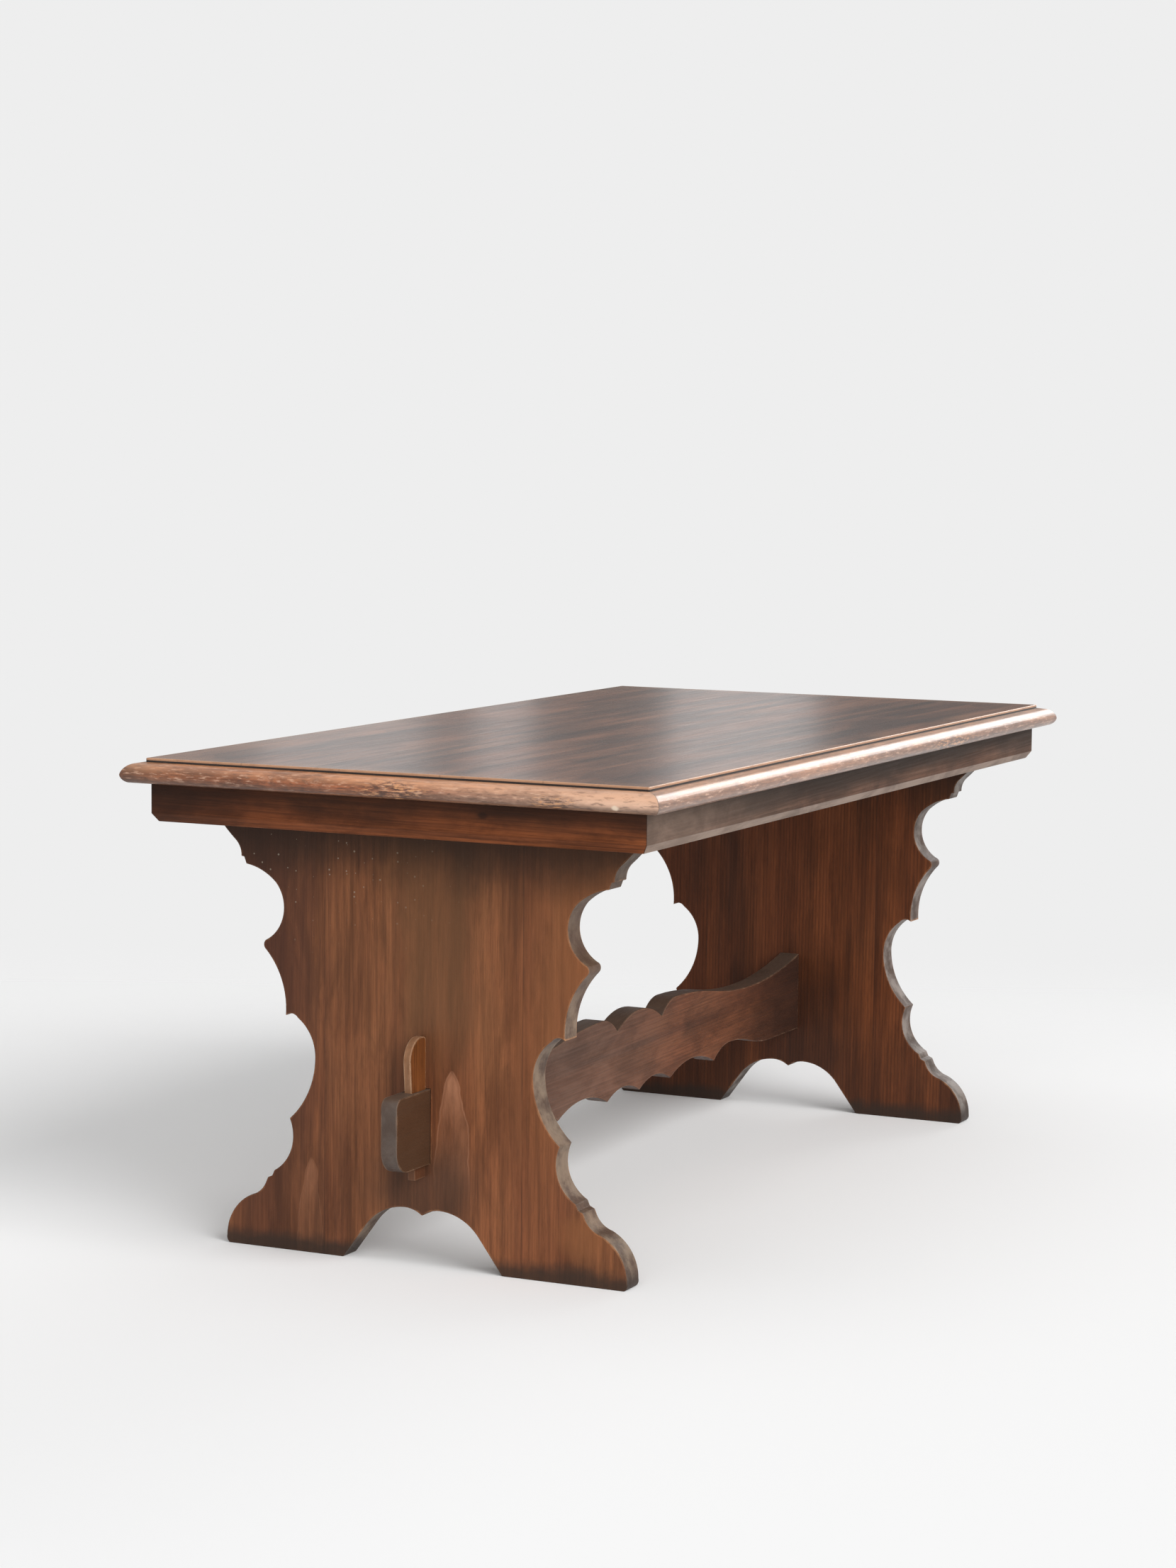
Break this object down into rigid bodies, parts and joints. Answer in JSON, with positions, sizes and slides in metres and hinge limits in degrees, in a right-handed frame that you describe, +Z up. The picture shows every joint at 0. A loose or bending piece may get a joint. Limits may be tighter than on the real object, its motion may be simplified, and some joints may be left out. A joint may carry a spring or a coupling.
{
  "type": "refectory table",
  "caption": "Knock-down trestle dining table in dark walnut: moulded top with an apron on scroll-sawn trestles, held by a scalloped stretcher with wedged through tenons.",
  "frame": {"origin": "on the floor, under the middle of the table", "axes": "+X along the table's length towards the right trestle, +Y across to the back, +Z up"},
  "size_m": [1.786, 0.922, 0.78],
  "materials": {
    "top_walnut": "dark waxed walnut, satin",
    "edge_walnut": "waxed walnut, worn and glossy",
    "apron_walnut": "waxed walnut, satin",
    "trestle_walnut": "waxed walnut, satin",
    "stretcher_walnut": "waxed walnut, satin",
    "wedge_wood": "lighter oiled wood, satin",
    "inner_wood": "plain unfinished wood",
    "steel": "plain steel screws"
  },
  "bodies": {
    "table": {"top_board_1": "top_walnut", "top_board_2": "top_walnut", "top_board_3": "top_walnut", "top_board_4": "top_walnut", "top_board_5": "top_walnut", "front_edge_moulding": "edge_walnut", "front_apron": "apron_walnut", "front_glue_blocks": "inner_wood", "right_edge_moulding": "edge_walnut", "right_apron": "apron_walnut", "right_glue_blocks": "inner_wood", "back_edge_moulding": "edge_walnut", "back_apron": "apron_walnut", "back_glue_blocks": "inner_wood", "left_edge_moulding": "edge_walnut", "left_apron": "apron_walnut", "left_glue_blocks": "inner_wood", "left_front_corner_block": "inner_wood", "left_back_corner_block": "inner_wood", "left_trestle_front_board": "trestle_walnut", "left_trestle_centre_board": "trestle_walnut", "left_trestle_back_board": "trestle_walnut", "left_bearer": "inner_wood", "left_panel_screws": "steel", "left_trestle_screws": "steel", "right_front_corner_block": "inner_wood", "right_back_corner_block": "inner_wood", "right_trestle_front_board": "trestle_walnut", "right_trestle_centre_board": "trestle_walnut", "right_trestle_back_board": "trestle_walnut", "right_bearer": "inner_wood", "right_panel_screws": "steel", "right_trestle_screws": "steel", "stretcher": "stretcher_walnut"},
    "left_wedge": {"left_wedge": "wedge_wood"},
    "right_wedge": {"right_wedge": "wedge_wood"}
  },
  "joints": [
    {"name": "left_wedge_lift", "type": "slide", "parent": "table", "child": "left_wedge", "axis": [0, 0, 1], "range_m": [0, 0.15]},
    {"name": "right_wedge_lift", "type": "slide", "parent": "table", "child": "right_wedge", "axis": [0, 0, 1], "range_m": [0, 0.15]}
  ]
}
